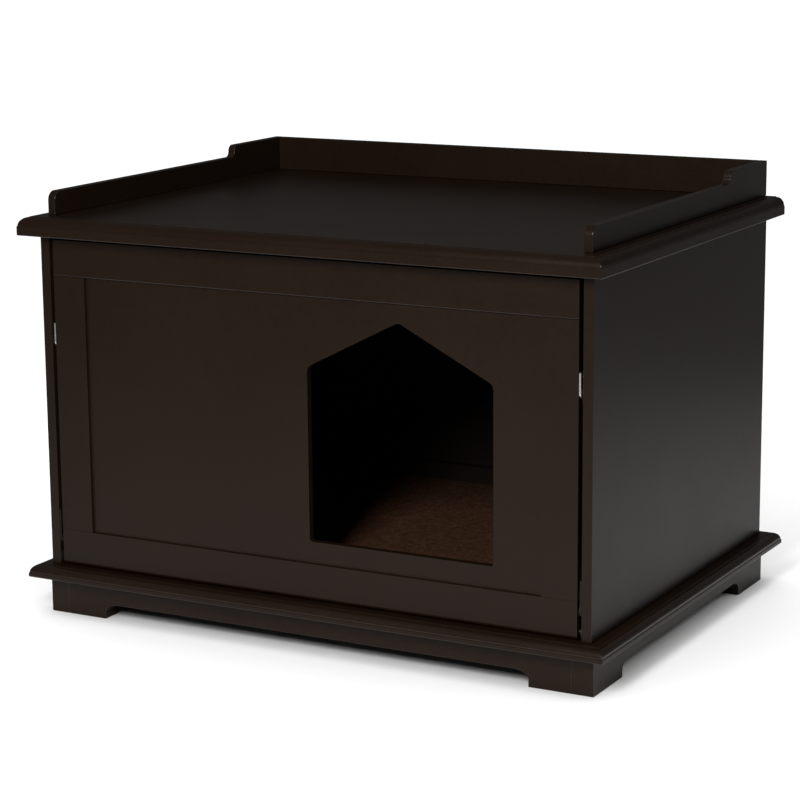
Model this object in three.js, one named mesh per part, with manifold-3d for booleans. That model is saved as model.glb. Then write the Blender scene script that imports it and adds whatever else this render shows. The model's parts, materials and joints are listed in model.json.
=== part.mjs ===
// Cat litter box cabinet: a low bench cabinet with a moulded top, a three-sided gallery on it,
// a bracket-footed plinth, and a full-width drop-down front with a house-shaped cat entry.
// Millimetres. +X is the cabinet's right as seen from the front, +Y its back, +Z up.
// The origin is on the floor under the middle of the whole.
import * as THREE from "three";
import { mergeVertices } from "three/addons/utils/BufferGeometryUtils.js";
import Module from "manifold-3d";

const wasm = await Module();
wasm.setup();

// ---------------------------------------------------------------- driving dimensions

// Body
const bodyWidth = 710;
const bodyDepth = 512;
const bodyHeight = 400;
const sidePanelThickness = 12;
const backPanelThickness = 6;
const backPanelSetback = 3;
const backGrooveDepth = 5;

// Top board, with a square lower edge, a fine step, a quarter round and a fillet up to the top face
const topOverhangSide = 18;
const topOverhangFront = 22;
const topOverhangRear = 14;
const topSquareEdge = 11;
const topEdgeStep = 0.8;
const topRoundRadius = 10.4;
const topFillet = 0.6;
const topArrisRadius = 1.2;

// Base board, moulded in the same way on all four sides
const baseOverhangSide = 22;
const baseOverhangFront = 20;
const baseOverhangRear = 20;
const baseSquareEdge = 5;
const baseEdgeStep = 0.8;
const baseRoundRadius = 9.4;
const baseFillet = 0.6;
const baseArrisRadius = 1;

// Plinth
const plinthHeight = 45;
const plinthThickness = 25;
const plinthProud = 3;
const plinthBlockSize = 24;
const footLength = 78;
const archHeight = 18.5;
const archCornerWidth = 20;
const archCornerHeight = 10;

// Gallery
const galleryThickness = 10;
const galleryInset = 6;
const gallerySetback = 9;
const galleryLowHeight = 28;
const galleryHighHeight = 43;
const galleryHighLength = 122;
const galleryFrontRadius = 11;
const galleryStepLowerRadius = 7;

// Floor inside the cabin
const floorBearerHeight = 12;
const floorBearerWidth = 18;
const floorThickness = 12;
const floorSetback = 19;
const matThickness = 3;
const matMargin = 2;
const floorBattenHeight = 24;
const floorBattenThickness = 12;

// Rails and cleats under the top
const stopRailDepth = 20;
const stopRailHeight = 18;
const cleatSize = 15;

// Drop-down front
const doorThickness = 15;
const doorSideGap = 5;
const doorTopGap = 5.5;
const doorBottomGap = 1.5;
const stileWidth = 43;
const topRailWidth = 42.5;
const bottomRailWidth = 43;
const doorPanelThickness = 9;
const doorPanelRecess = 3.5;
const doorGrooveDepth = 6;
const doorFootRadius = 5;
const topRailArrisRadius = 1.2;
const doorStopGap = 1;

// Cat entry, a house shape right of the middle
const entryCentreX = 119.75;
const entryWidth = 232.5;
const entrySillMargin = 25.5;
const entryRidgeMargin = 21;
const entryRoofHeight = 59;
const entryRoofRadius = 10;
const entrySillRadius = 4;

// Pivot pins of the front
const pivotSetback = 7.5;
const pivotRise = 8;
const pivotPinDiameter = 6;
const pivotPinInDoor = 20;
const pivotPinInSide = 7;
const bushDiameter = 10;
const bushLength = 9;
const bushFlangeDiameter = 14;
const bushFlangeThickness = 1;

// Folding stays, one in each side gap
const doorOpenAngle = THREE.MathUtils.degToRad(90);
const stayPlateThickness = 2;
const stayArmThickness = 1;
const stayArmWidth = 12;
const stayLayerGap = 0.3;
const stayStudDiameter = 5;
const stayStudHeadDiameter = 8;
const stayStudHeadThickness = 0.8;
const stayCollarDiameter = 8;
const stayPlateWidth = 12;
const stayPlateFrontGap = 0.5;
const doorPlateLength = 28;
const doorPlateRise = 265.5;
const anchorPlateLength = 42;
const anchorPlateRise = 26;
const studToPlateEnd = 6;
const stayReachFactor = 1.01;
const elbowRivetDiameter = 8;
const elbowRivetHeadThickness = 0.8;

// Magnetic catches under the stop rail
const catchSpacing = 400;
const catchWidth = 42;
const catchDepth = 18;
const catchHeight = 14;
const catchPoleGap = 0.5;
const catchPoleWidth = 26;
const catchPoleHeight = 8;
const catchPoleReach = 1.2;
const strikeWidth = 32;
const strikeHeight = 14;
const strikeThickness = 1;

// Countersunk wood screws
const screwHeadDiameter = 6;
const screwShankDiameter = 3;
const screwHeadHeight = 1;
const screwLength = 9;
const screwEndSpacing = 7;
const screwSpacing = 9;

// Clearances
const seam = 0.25;
const runningGap = 0.3;
const curveSteps = 10;
const roundSteps = 28;

// ---------------------------------------------------------------- places worked out from them

const sideX = bodyWidth / 2;
const innerX = sideX - sidePanelThickness;
const outermostFront = Math.max(topOverhangFront, baseOverhangFront);
const outermostRear = Math.max(topOverhangRear, baseOverhangRear);
const frontY = (outermostFront - outermostRear - bodyDepth) / 2;
const rearY = frontY + bodyDepth;
const baseThickness = baseSquareEdge + baseRoundRadius + baseFillet;
const baseTopZ = plinthHeight + baseThickness;
const topUnderZ = baseTopZ + bodyHeight;
const topThickness = topSquareEdge + topRoundRadius + topFillet;
const topZ = topUnderZ + topThickness;
const topHalfWidth = sideX + topOverhangSide;
const topFrontY = frontY - topOverhangFront;
const topRearY = rearY + topOverhangRear;

const backPanelRearY = rearY - backPanelSetback;
const backPanelFrontY = backPanelRearY - backPanelThickness;

const doorHalfWidth = innerX - doorSideGap;
const doorBottomZ = baseTopZ + doorBottomGap;
const doorTopZ = topUnderZ - doorTopGap;
const doorRearY = frontY + doorThickness;
const doorPanelFrontY = frontY + doorPanelRecess;
const doorPanelRearY = doorPanelFrontY + doorPanelThickness;
const bottomRailTopZ = doorBottomZ + bottomRailWidth;
const topRailUnderZ = doorTopZ - topRailWidth;
const stileInnerX = doorHalfWidth - stileWidth;

const floorUnderZ = baseTopZ + floorBearerHeight;
const floorTopZ = floorUnderZ + floorThickness;
const floorFrontY = frontY + floorSetback;
const floorRearY = backPanelFrontY - seam;
const battenFrontY = floorRearY - floorBattenThickness;

const stopRailFrontY = doorRearY + doorStopGap;
const stopRailRearY = stopRailFrontY + stopRailDepth;
const stopRailUnderZ = topUnderZ - stopRailHeight;

const pivot = new THREE.Vector2(frontY + pivotSetback, doorBottomZ + pivotRise);
const plateCentreY = frontY + stayPlateFrontGap + stayPlateWidth / 2;

// The stays' layers, counted outward from the door's edge
const doorPlateX = doorHalfWidth + seam;
const doorPlateOuterX = doorPlateX + stayPlateThickness;
const upperArmX = doorPlateOuterX + stayLayerGap;
const upperArmOuterX = upperArmX + stayArmThickness;
const lowerArmX = doorPlateOuterX - stayArmThickness;
const anchorPlateOuterX = innerX - seam;
const anchorPlateX = anchorPlateOuterX - stayPlateThickness;

// Stay pivots in the (y, z) plane: one on the side panel, one on the door, and the elbow between
const anchorStud = new THREE.Vector2(plateCentreY, baseTopZ + anchorPlateRise + studToPlateEnd);
const doorStud = new THREE.Vector2(plateCentreY, doorBottomZ + doorPlateRise + studToPlateEnd);
const doorStudOpen = doorStud.clone().rotateAround(pivot, doorOpenAngle);
const stayArmLength = (stayReachFactor * anchorStud.distanceTo(doorStudOpen)) / 2;
const studSpan = anchorStud.distanceTo(doorStud);
const elbowOffset = Math.sqrt(stayArmLength ** 2 - (studSpan / 2) ** 2);
const alongStay = doorStud.clone().sub(anchorStud).normalize();
const elbow = anchorStud
  .clone()
  .addScaledVector(alongStay, studSpan / 2)
  .add(new THREE.Vector2(alongStay.y, -alongStay.x).multiplyScalar(elbowOffset));

// ---------------------------------------------------------------- materials

const finishes = {
  espresso: { color: 0x2b1d19, roughness: 0.42, metalness: 0 },
  board: { color: 0x3a2820, roughness: 0.7, metalness: 0 },
  mat: { color: 0x5a3a29, roughness: 0.95, metalness: 0 },
  steel: { color: 0xb9b7b2, roughness: 0.32, metalness: 1 },
  darkSteel: { color: 0x57524c, roughness: 0.5, metalness: 1 },
  nylon: { color: 0x2e2622, roughness: 0.5, metalness: 0 },
  blackPlastic: { color: 0x161616, roughness: 0.5, metalness: 0 },
};

const cabinet = new THREE.Group();

function addPiece(name, geometry, finish) {
  const mesh = new THREE.Mesh(geometry, new THREE.MeshStandardMaterial(finishes[finish]));
  mesh.name = name;
  cabinet.add(mesh);
  return mesh;
}

// The right-hand piece and its mirror image on the left.
function addPair(name, geometry, finish, place = () => {}) {
  const right = addPiece(`${name}_right`, geometry, finish);
  place(right);
  const left = addPiece(`${name}_left`, geometry, finish);
  place(left);
  left.position.x *= -1;
  left.scale.x = -1;
}

// ---------------------------------------------------------------- shapes

function toSolid(geometry) {
  const bare = geometry.clone();
  bare.deleteAttribute("normal");
  bare.deleteAttribute("uv");
  const merged = mergeVertices(bare, 1e-4);
  const mesh = new wasm.Mesh({
    numProp: 3,
    vertProperties: new Float32Array(merged.attributes.position.array),
    triVerts: new Uint32Array(merged.index.array),
  });
  return new wasm.Manifold(mesh);
}

function toGeometry(solid) {
  const mesh = solid.getMesh();
  const geometry = new THREE.BufferGeometry();
  geometry.setAttribute("position", new THREE.BufferAttribute(mesh.vertProperties, 3));
  geometry.setIndex(new THREE.BufferAttribute(mesh.triVerts, 1));
  geometry.computeVertexNormals();
  return geometry;
}

// One piece made of parts joined together, with other parts cut away.
function carve(joined, cuts = []) {
  const base = joined.map(toSolid).reduce((whole, part) => whole.add(part));
  return toGeometry(cuts.map(toSolid).reduce((whole, part) => whole.subtract(part), base));
}

function common(a, b) {
  return toGeometry(toSolid(a).intersect(toSolid(b)));
}

function block(x0, x1, y0, y1, z0, z1) {
  const geometry = new THREE.BoxGeometry(x1 - x0, y1 - y0, z1 - z0);
  return geometry.translate((x0 + x1) / 2, (y0 + y1) / 2, (z0 + z1) / 2);
}

// A shape drawn in (y, z), extruded from x0 to x1.
function prismAlongX(shape, x0, x1) {
  const geometry = extrude(shape, x1 - x0);
  const turn = new THREE.Matrix4().makeBasis(
    new THREE.Vector3(0, 1, 0),
    new THREE.Vector3(0, 0, 1),
    new THREE.Vector3(1, 0, 0),
  );
  return geometry.applyMatrix4(turn).translate(x0, 0, 0);
}

// A shape drawn in (x, z), extruded from y0 to y1.
function prismAlongY(shape, y0, y1) {
  return extrude(shape, y1 - y0).rotateX(Math.PI / 2).translate(0, y1, 0);
}

function extrude(shape, depth) {
  return new THREE.ExtrudeGeometry(shape, { depth, bevelEnabled: false, curveSegments: curveSteps });
}

// A rod along X.
function rodAlongX(diameter, x0, x1, y, z) {
  const rod = new THREE.CylinderGeometry(diameter / 2, diameter / 2, x1 - x0, roundSteps);
  return rod.rotateZ(Math.PI / 2).translate((x0 + x1) / 2, y, z);
}

// A closed outline through corner points, each corner rounded to its own radius.
function roundedOutline(corners, outline) {
  const count = corners.length;
  corners.forEach(([x, y, radius], i) => {
    const here = new THREE.Vector2(x, y);
    const [beforeX, beforeY] = corners[(i + count - 1) % count];
    const [afterX, afterY] = corners[(i + 1) % count];
    const back = new THREE.Vector2(beforeX, beforeY).sub(here).normalize();
    const ahead = new THREE.Vector2(afterX, afterY).sub(here).normalize();
    const half = Math.acos(THREE.MathUtils.clamp(back.dot(ahead), -1, 1)) / 2;
    const reach = radius / Math.tan(half);
    const start = here.clone().addScaledVector(back, reach);
    const end = here.clone().addScaledVector(ahead, reach);
    if (i === 0) outline.moveTo(start.x, start.y);
    else outline.lineTo(start.x, start.y);
    if (radius > 0) outline.quadraticCurveTo(here.x, here.y, end.x, end.y);
  });
  outline.closePath();
  return outline;
}

// Section of a moulded board: square edge below with a rubbed lower arris, step, quarter round, and
// fillet up to the top face.
function mouldedSection(low, high, z0, edge, lowMoulded) {
  const { square, step, radius, fillet, arris } = edge;
  const topFace = z0 + square + radius + fillet;
  const shape = new THREE.Shape();
  shape.moveTo(lowMoulded ? low + arris : low, z0);
  shape.lineTo(high - arris, z0);
  shape.absarc(high - arris, z0 + arris, arris, -Math.PI / 2, 0, false);
  shape.lineTo(high, z0 + square);
  shape.lineTo(high - step, z0 + square);
  shape.absarc(high - step - radius, z0 + square, radius, 0, Math.PI / 2, false);
  shape.lineTo(high - step - radius, topFace);
  if (lowMoulded) {
    shape.lineTo(low + step + radius, topFace);
    shape.absarc(low + step + radius, z0 + square, radius, Math.PI / 2, Math.PI, false);
    shape.lineTo(low, z0 + square);
    shape.absarc(low + arris, z0 + arris, arris, Math.PI, 1.5 * Math.PI, false);
  } else {
    shape.lineTo(low, topFace);
  }
  shape.closePath();
  return shape;
}

// A board moulded on both sides, and along the front and, if asked, the rear, with mitred corners.
function mouldedBoard(halfWidth, y0, y1, z0, edge, rearMoulded) {
  const across = prismAlongY(mouldedSection(-halfWidth, halfWidth, z0, edge, true), y0, y1);
  // The (y, z) section is drawn with its front on the right, then turned round.
  const depthSection = mouldedSection(-y1, -y0, z0, edge, rearMoulded);
  const along = extrude(depthSection, 2 * halfWidth);
  const turn = new THREE.Matrix4().makeBasis(
    new THREE.Vector3(0, -1, 0),
    new THREE.Vector3(0, 0, 1),
    new THREE.Vector3(-1, 0, 0),
  );
  along.applyMatrix4(turn).translate(halfWidth, 0, 0);
  return common(across, along);
}

// ---------------------------------------------------------------- top, base and gallery

function buildTop() {
  const edge = {
    square: topSquareEdge,
    step: topEdgeStep,
    radius: topRoundRadius,
    fillet: topFillet,
    arris: topArrisRadius,
  };
  addPiece("tabletop", mouldedBoard(topHalfWidth, topFrontY, topRearY, topUnderZ, edge, false), "espresso");
}

function buildBase() {
  const edge = {
    square: baseSquareEdge,
    step: baseEdgeStep,
    radius: baseRoundRadius,
    fillet: baseFillet,
    arris: baseArrisRadius,
  };
  const halfWidth = sideX + baseOverhangSide;
  const y0 = frontY - baseOverhangFront;
  const y1 = rearY + baseOverhangRear;
  addPiece("base_board", mouldedBoard(halfWidth, y0, y1, plinthHeight, edge, true), "espresso");
}

function buildGallery() {
  const outerX = sideX - galleryInset;
  const innerFaceX = outerX - galleryThickness;
  const startY = frontY + gallerySetback;
  const stepY = topRearY - galleryHighLength;
  const footZ = topZ + seam;
  const lowZ = topZ + galleryLowHeight;
  const highZ = topZ + galleryHighHeight;
  const hollowRadius = galleryStepLowerRadius;
  const roundRadius = galleryHighHeight - galleryLowHeight - hollowRadius;
  const noseRadius = galleryFrontRadius;
  const side = new THREE.Shape();
  side.moveTo(startY, footZ);
  side.lineTo(topRearY, footZ);
  side.lineTo(topRearY, highZ);
  side.lineTo(stepY + roundRadius, highZ);
  side.absarc(stepY + roundRadius, highZ - roundRadius, roundRadius, Math.PI / 2, Math.PI, false);
  side.absarc(stepY - hollowRadius, lowZ + hollowRadius, hollowRadius, 0, -Math.PI / 2, true);
  side.lineTo(startY + noseRadius, lowZ);
  side.absarc(startY + noseRadius, lowZ - noseRadius, noseRadius, Math.PI / 2, Math.PI, false);
  side.closePath();
  addPair("gallery_side", prismAlongX(side, innerFaceX, outerX), "espresso");
  const backX = innerFaceX - seam;
  const back = block(-backX, backX, topRearY - galleryThickness, topRearY, footZ, highZ);
  addPiece("gallery_back", back, "espresso");
}

// ---------------------------------------------------------------- plinth

// Outline of a plinth board from -reach to reach, with an arch that leaves a foot at each end.
function archedOutline(reach, footAt) {
  const shape = new THREE.Shape();
  const shoulder = archHeight - archCornerHeight;
  const flatReach = footAt - archCornerWidth;
  shape.moveTo(-reach, 0);
  shape.lineTo(-footAt, 0);
  shape.lineTo(-footAt, shoulder);
  shape.absellipse(-flatReach, shoulder, archCornerWidth, archCornerHeight, Math.PI, Math.PI / 2, true, 0);
  shape.lineTo(flatReach, archHeight);
  shape.absellipse(flatReach, shoulder, archCornerWidth, archCornerHeight, Math.PI / 2, 0, true, 0);
  shape.lineTo(footAt, 0);
  shape.lineTo(reach, 0);
  shape.lineTo(reach, plinthHeight - seam);
  shape.lineTo(-reach, plinthHeight - seam);
  shape.closePath();
  return shape;
}

function buildPlinth() {
  const outerX = sideX + plinthProud;
  const innerFaceX = outerX - plinthThickness;
  const crossX = innerFaceX - seam;
  const cross = archedOutline(crossX, outerX - footLength);
  addPiece("plinth_front", prismAlongY(cross, frontY, frontY + plinthThickness), "espresso");
  addPiece("plinth_back", prismAlongY(cross, rearY - plinthThickness, rearY), "espresso");
  const side = archedOutline(bodyDepth / 2, bodyDepth / 2 - footLength);
  const sideBoard = prismAlongX(side, innerFaceX, outerX).translate(0, (frontY + rearY) / 2, 0);
  addPair("plinth_side", sideBoard, "espresso");
  const blockX = crossX - plinthBlockSize;
  const blockTop = plinthHeight - seam;
  const blockBottom = archHeight - archCornerHeight;
  for (const [name, nearY, farY] of [
    ["plinth_block_front", frontY + plinthThickness + seam, 1],
    ["plinth_block_rear", rearY - plinthThickness - seam, -1],
  ]) {
    const y0 = Math.min(nearY, nearY + farY * plinthBlockSize);
    addPair(name, block(blockX, crossX, y0, y0 + plinthBlockSize, blockBottom, blockTop), "board");
  }
}

// ---------------------------------------------------------------- body

// Holes in the right side panel for the pivot bush and the anchor plate's screws.
function sidePanelCuts() {
  const bushBore = rodAlongX(
    bushDiameter + 2 * seam,
    innerX - seam,
    innerX + bushLength - bushFlangeThickness + seam,
    pivot.x,
    pivot.y,
  );
  const pilots = anchorScrewHeights().map((z) =>
    rodAlongX(
      screwShankDiameter + 2 * runningGap,
      innerX - seam,
      anchorPlateX + screwLength + runningGap,
      plateCentreY,
      z,
    ),
  );
  return [bushBore, ...pilots];
}

function buildBody() {
  const z0 = baseTopZ + seam;
  const z1 = topUnderZ - seam;
  const panel = block(innerX, sideX, frontY, rearY, z0, z1);
  const groove = block(
    innerX - seam,
    innerX + backGrooveDepth,
    backPanelFrontY - seam,
    backPanelRearY + seam,
    z0 - seam,
    z1 + seam,
  );
  addPair("side_panel", carve([panel], [groove, ...sidePanelCuts()]), "espresso");
  const backX = innerX + backGrooveDepth - seam;
  addPiece("back_panel", block(-backX, backX, backPanelFrontY, backPanelRearY, z0, z1), "board");
}

function buildFloor() {
  const fitX = innerX - seam;
  const bearer = block(
    fitX - floorBearerWidth,
    fitX,
    floorFrontY,
    floorRearY,
    baseTopZ + seam,
    floorUnderZ - seam,
  );
  addPair("floor_bearer", bearer, "board");
  addPiece("floor_panel", block(-fitX, fitX, floorFrontY, floorRearY, floorUnderZ, floorTopZ), "board");
  const batten = block(
    -fitX,
    fitX,
    battenFrontY,
    floorRearY,
    floorTopZ + seam,
    floorTopZ + floorBattenHeight,
  );
  addPiece("floor_batten_rear", batten, "board");
  const matX = innerX - matMargin;
  const matFrontY = floorFrontY + matMargin;
  const matRearY = battenFrontY - seam;
  const matZ = floorTopZ + seam;
  addPiece("floor_mat", block(-matX, matX, matFrontY, matRearY, matZ, matZ + matThickness), "mat");
}

function buildTopFixings() {
  const fitX = innerX - seam;
  const underTop = topUnderZ - seam;
  const rail = block(-fitX, fitX, stopRailFrontY, stopRailRearY, stopRailUnderZ, underTop);
  addPiece("door_stop_rail", rail, "board");
  const cleat = block(
    fitX - cleatSize,
    fitX,
    stopRailRearY + seam,
    floorRearY,
    topUnderZ - cleatSize,
    underTop,
  );
  addPair("top_cleat", cleat, "board");
}

// ---------------------------------------------------------------- drop-down front

// Section of a door rail in (y, z), with its lower front edge rounded.
function railSection(z0, z1, radius) {
  const section = new THREE.Shape();
  section.moveTo(frontY + radius, z0);
  section.lineTo(doorRearY, z0);
  section.lineTo(doorRearY, z1);
  section.lineTo(frontY, z1);
  section.absarc(frontY + radius, z0 + radius, radius, Math.PI, 1.5 * Math.PI, false);
  section.closePath();
  return section;
}

function buildDoorFrame() {
  const grooveFrontY = doorPanelFrontY - seam;
  const grooveRearY = doorPanelRearY + seam;
  const topGroove = block(
    -doorHalfWidth - seam,
    doorHalfWidth + seam,
    grooveFrontY,
    grooveRearY,
    topRailUnderZ - seam,
    topRailUnderZ + doorGrooveDepth,
  );
  const topRailSection = railSection(topRailUnderZ, doorTopZ, topRailArrisRadius);
  const topRail = prismAlongX(topRailSection, -doorHalfWidth, doorHalfWidth);
  addPiece("door_rail_top", carve([topRail], [topGroove, ...strikeScrewHoles()]), "espresso");

  const bottomGroove = block(
    -doorHalfWidth - seam,
    doorHalfWidth + seam,
    grooveFrontY,
    grooveRearY,
    bottomRailTopZ - doorGrooveDepth,
    bottomRailTopZ + seam,
  );
  const pinBores = [-1, 1].map((side) =>
    rodAlongX(
      pivotPinDiameter + 2 * seam,
      side > 0 ? doorHalfWidth - pivotPinInDoor - seam : -doorHalfWidth - seam,
      side > 0 ? doorHalfWidth + seam : -doorHalfWidth + pivotPinInDoor + seam,
      pivot.x,
      pivot.y,
    ),
  );
  const bottomRailSection = railSection(doorBottomZ, bottomRailTopZ, doorFootRadius);
  const bottomRail = prismAlongX(bottomRailSection, -doorHalfWidth, doorHalfWidth);
  addPiece("door_rail_bottom", carve([bottomRail], [bottomGroove, ...pinBores]), "espresso");

  // The stiles stand between the rails, with a stub tenon in each rail's groove.
  const stile = block(
    stileInnerX,
    doorHalfWidth,
    frontY,
    doorRearY,
    bottomRailTopZ + seam,
    topRailUnderZ - seam,
  );
  const tenons = block(
    stileInnerX,
    doorHalfWidth,
    doorPanelFrontY,
    doorPanelRearY,
    bottomRailTopZ - doorGrooveDepth + seam,
    topRailUnderZ + doorGrooveDepth - seam,
  );
  const groove = block(
    stileInnerX - seam,
    stileInnerX + doorGrooveDepth,
    grooveFrontY,
    grooveRearY,
    doorBottomZ,
    doorTopZ,
  );
  const pilots = doorPlateScrewHeights().map((z) =>
    rodAlongX(
      screwShankDiameter + 2 * runningGap,
      doorPlateOuterX - screwLength - runningGap,
      doorHalfWidth + seam,
      plateCentreY,
      z,
    ),
  );
  addPair("door_stile", carve([stile, tenons], [groove, ...pilots]), "espresso");
}

function buildDoorPanel() {
  const edgeX = stileInnerX + doorGrooveDepth - seam;
  const z0 = bottomRailTopZ - doorGrooveDepth + seam;
  const z1 = topRailUnderZ + doorGrooveDepth - seam;
  const panel = new THREE.Shape();
  panel.moveTo(-edgeX, z0);
  panel.lineTo(edgeX, z0);
  panel.lineTo(edgeX, z1);
  panel.lineTo(-edgeX, z1);
  panel.closePath();
  const sill = bottomRailTopZ + entrySillMargin;
  const ridge = topRailUnderZ - entryRidgeMargin;
  const eaves = ridge - entryRoofHeight;
  const left = entryCentreX - entryWidth / 2;
  const right = entryCentreX + entryWidth / 2;
  const entry = roundedOutline(
    [
      [left, sill, entrySillRadius],
      [left, eaves, entryRoofRadius],
      [entryCentreX, ridge, entryRoofRadius],
      [right, eaves, entryRoofRadius],
      [right, sill, entrySillRadius],
    ],
    new THREE.Path(),
  );
  panel.holes.push(entry);
  addPiece("door_panel", prismAlongY(panel, doorPanelFrontY, doorPanelRearY), "espresso");
}

// ---------------------------------------------------------------- pivots

function buildPivots() {
  const pinEnd = innerX + pivotPinInSide;
  const pin = rodAlongX(pivotPinDiameter, doorHalfWidth - pivotPinInDoor, pinEnd, pivot.x, pivot.y);
  addPair("pivot_pin", pin, "darkSteel");
  const sleeveEnd = innerX + bushLength - bushFlangeThickness;
  const sleeve = rodAlongX(bushDiameter, innerX - seam, sleeveEnd, pivot.x, pivot.y);
  const flangeX = innerX - seam - bushFlangeThickness;
  const flange = rodAlongX(bushFlangeDiameter, flangeX, innerX - seam, pivot.x, pivot.y);
  const bore = rodAlongX(
    pivotPinDiameter + 2 * runningGap,
    flangeX - seam,
    pinEnd + runningGap,
    pivot.x,
    pivot.y,
  );
  addPair("pivot_bush", carve([sleeve, flange], [bore]), "nylon");
}

// ---------------------------------------------------------------- screws

// A countersunk screw along X with its head's face at x = 0 and its point towards +X.
function screwGeometry() {
  const headRadius = screwHeadDiameter / 2;
  const shankRadius = screwShankDiameter / 2;
  const profile = [
    new THREE.Vector2(0, 0),
    new THREE.Vector2(headRadius, 0),
    new THREE.Vector2(shankRadius, screwHeadHeight),
    new THREE.Vector2(shankRadius, screwLength - screwShankDiameter),
    new THREE.Vector2(0, screwLength),
  ];
  return new THREE.LatheGeometry(profile, roundSteps).rotateZ(-Math.PI / 2);
}

// The countersunk hole that such a screw's head sits in, through a plate of the given thickness.
function countersink(faceX, towards, y, z, thickness) {
  const wide = screwHeadDiameter / 2 + runningGap;
  const narrow = screwShankDiameter / 2 + runningGap;
  const cone = new THREE.CylinderGeometry(
    towards > 0 ? wide : narrow,
    towards > 0 ? narrow : wide,
    screwHeadHeight,
    roundSteps,
  );
  cone.rotateZ(Math.PI / 2).translate(faceX + (towards * screwHeadHeight) / 2, y, z);
  const mouth = rodAlongX(
    2 * wide,
    Math.min(faceX, faceX - towards * seam),
    Math.max(faceX, faceX - towards * seam),
    y,
    z,
  );
  const farX = faceX + towards * (thickness + seam);
  const hole = rodAlongX(2 * narrow, Math.min(faceX, farX), Math.max(faceX, farX), y, z);
  return [cone, mouth, hole];
}

function anchorScrewHeights() {
  const top = anchorStud.y - studToPlateEnd + anchorPlateLength;
  return [top - screwEndSpacing - 2 * screwSpacing, top - screwEndSpacing];
}

function doorPlateScrewHeights() {
  const top = doorStud.y - studToPlateEnd + doorPlateLength;
  return [top - screwEndSpacing / 2 - screwSpacing, top - screwEndSpacing / 2];
}

// ---------------------------------------------------------------- stays

// A plate's outline in (y, z): rounded at the stud's end, with small corners at the other.
function plateOutline(stud, length) {
  const half = stayPlateWidth / 2;
  const top = stud.y - studToPlateEnd + length;
  const shape = new THREE.Shape();
  shape.moveTo(stud.x + half, stud.y);
  shape.lineTo(stud.x + half, top);
  shape.lineTo(stud.x - half, top);
  shape.lineTo(stud.x - half, stud.y);
  shape.absellipse(stud.x, stud.y, half, studToPlateEnd, Math.PI, 2 * Math.PI, false, 0);
  shape.closePath();
  return shape;
}

function buildStayPlates() {
  const headX = upperArmOuterX + stayLayerGap;
  const doorPlate = carve(
    [
      prismAlongX(plateOutline(doorStud, doorPlateLength), doorPlateX, doorPlateOuterX),
      rodAlongX(stayStudDiameter, doorPlateX, headX + stayStudHeadThickness, doorStud.x, doorStud.y),
      rodAlongX(stayStudHeadDiameter, headX, headX + stayStudHeadThickness, doorStud.x, doorStud.y),
    ],
    doorPlateScrewHeights().flatMap((z) =>
      countersink(doorPlateOuterX, -1, plateCentreY, z, stayPlateThickness),
    ),
  );
  addPair("stay_door_plate", doorPlate, "steel");

  const collarX = doorPlateOuterX + stayLayerGap;
  const anchorPlate = carve(
    [
      prismAlongX(plateOutline(anchorStud, anchorPlateLength), anchorPlateX, anchorPlateOuterX),
      rodAlongX(stayStudDiameter, lowerArmX, anchorPlateOuterX, anchorStud.x, anchorStud.y),
      rodAlongX(stayCollarDiameter, collarX, anchorPlateOuterX, anchorStud.x, anchorStud.y),
    ],
    anchorScrewHeights().flatMap((z) =>
      countersink(anchorPlateX, 1, plateCentreY, z, stayPlateThickness),
    ),
  );
  addPair("stay_anchor_plate", anchorPlate, "darkSteel");

  const screw = screwGeometry();
  anchorScrewHeights().forEach((z, i) =>
    addPair(`anchor_screw_${i + 1}`, screw, "darkSteel", (mesh) =>
      mesh.position.set(anchorPlateX, plateCentreY, z),
    ),
  );
  const turned = screw.clone().rotateY(Math.PI);
  doorPlateScrewHeights().forEach((z, i) =>
    addPair(`door_plate_screw_${i + 1}`, turned, "steel", (mesh) =>
      mesh.position.set(doorPlateOuterX, plateCentreY, z),
    ),
  );
}

// A flat arm from its stud at the origin along +Y, with an eye for the stud.
function armSolids(x0) {
  const half = stayArmWidth / 2;
  const shape = new THREE.Shape();
  shape.absarc(0, 0, half, Math.PI / 2, 1.5 * Math.PI, false);
  shape.absarc(stayArmLength, 0, half, -Math.PI / 2, Math.PI / 2, false);
  shape.closePath();
  const eye = rodAlongX(stayStudDiameter + 2 * runningGap, x0 - seam, x0 + stayArmThickness + seam, 0, 0);
  return { flat: prismAlongX(shape, x0, x0 + stayArmThickness), eye };
}

function buildStayArms() {
  const toElbowFrom = (stud) => Math.atan2(elbow.y - stud.y, elbow.x - stud.x);

  // The lower arm carries the formed tail of the elbow rivet on its inner face.
  const lower = armSolids(lowerArmX);
  const tail = rodAlongX(
    elbowRivetDiameter,
    lowerArmX - elbowRivetHeadThickness,
    lowerArmX,
    stayArmLength,
    0,
  );
  addPair("stay_arm_lower", carve([lower.flat, tail], [lower.eye]), "darkSteel", (mesh) => {
    mesh.position.set(0, anchorStud.x, anchorStud.y);
    mesh.rotation.x = toElbowFrom(anchorStud);
  });

  // The upper arm has a hole at its elbow end for the rivet, whose head lies on its outer face.
  const upper = armSolids(upperArmX);
  const rivetShank = stayStudDiameter;
  const rivetHole = rodAlongX(
    rivetShank + 2 * seam,
    upperArmX - seam,
    upperArmOuterX + seam,
    stayArmLength,
    0,
  );
  const placeUpper = (mesh) => {
    mesh.position.set(0, doorStud.x, doorStud.y);
    mesh.rotation.x = toElbowFrom(doorStud);
  };
  addPair("stay_arm_upper", carve([upper.flat], [upper.eye, rivetHole]), "darkSteel", placeUpper);
  const headX = upperArmOuterX + seam;
  const rivet = carve([
    rodAlongX(rivetShank, upperArmX, headX, stayArmLength, 0),
    rodAlongX(elbowRivetDiameter, headX, headX + elbowRivetHeadThickness, stayArmLength, 0),
  ]);
  addPair("stay_elbow_rivet", rivet, "darkSteel", placeUpper);
}

// ---------------------------------------------------------------- magnetic catches

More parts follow.
